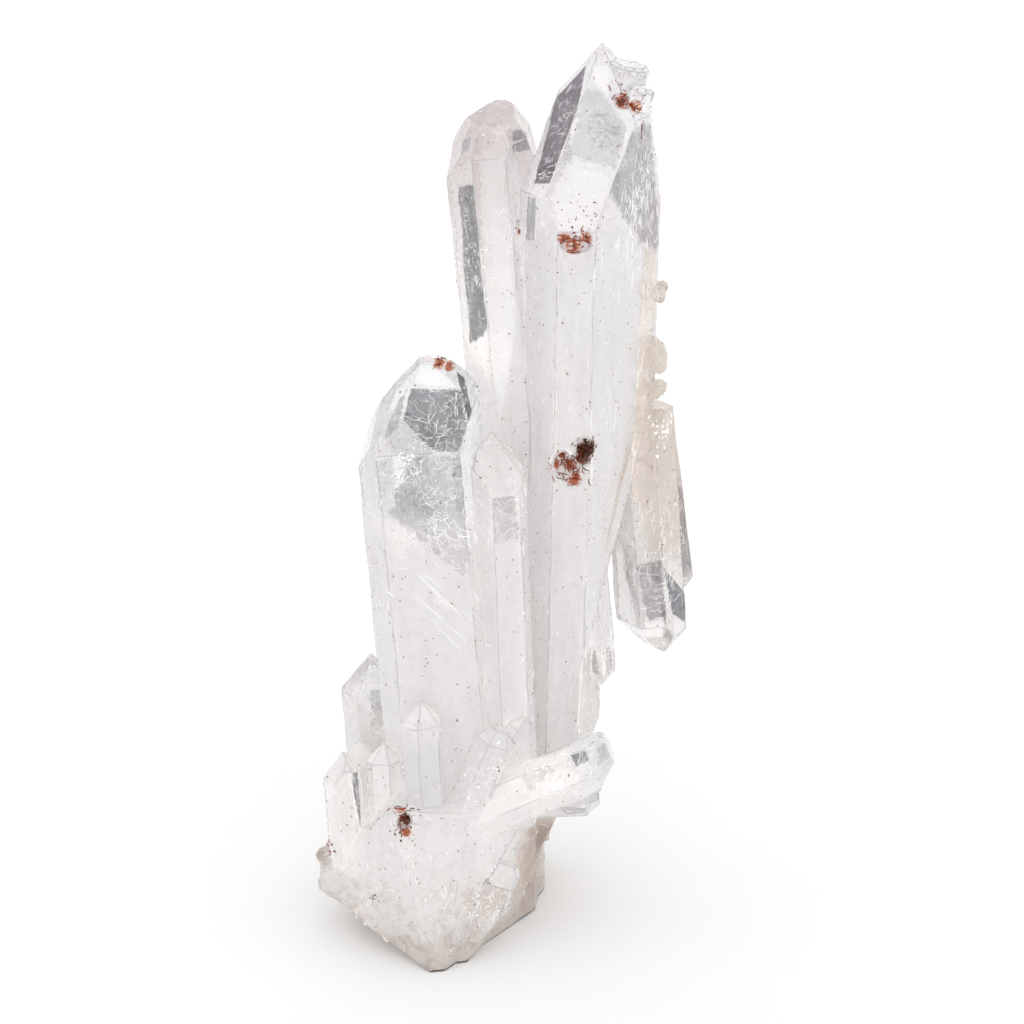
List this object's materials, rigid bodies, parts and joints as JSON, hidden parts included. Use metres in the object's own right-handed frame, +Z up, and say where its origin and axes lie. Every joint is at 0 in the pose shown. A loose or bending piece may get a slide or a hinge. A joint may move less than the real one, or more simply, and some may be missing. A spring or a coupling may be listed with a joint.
{
  "type": "quartz crystal cluster",
  "caption": "Upright cluster of clear, six-sided quartz crystals with pointed ends, grown together from one broken base that is cut flat to stand on.",
  "frame": {"origin": "middle of the bounding box's bottom, on the flat cut face the cluster stands on", "axes": "+Z up, roughly along the tallest crystals; -Y towards the viewer of the picture, so the broad milky crystal and the short crystals are on the -Y side; +X to the picture's right, where the hanging crystals are"},
  "size_m": [0.0636, 0.0536, 0.1432],
  "materials": {
    "clear_quartz": "clear at the points, milky white in the bodies, with thin beige and rust-brown stains at the base and in small pits"
  },
  "bodies": {
    "root": {"quartz_cluster": "clear_quartz"}
  },
  "joints": []
}
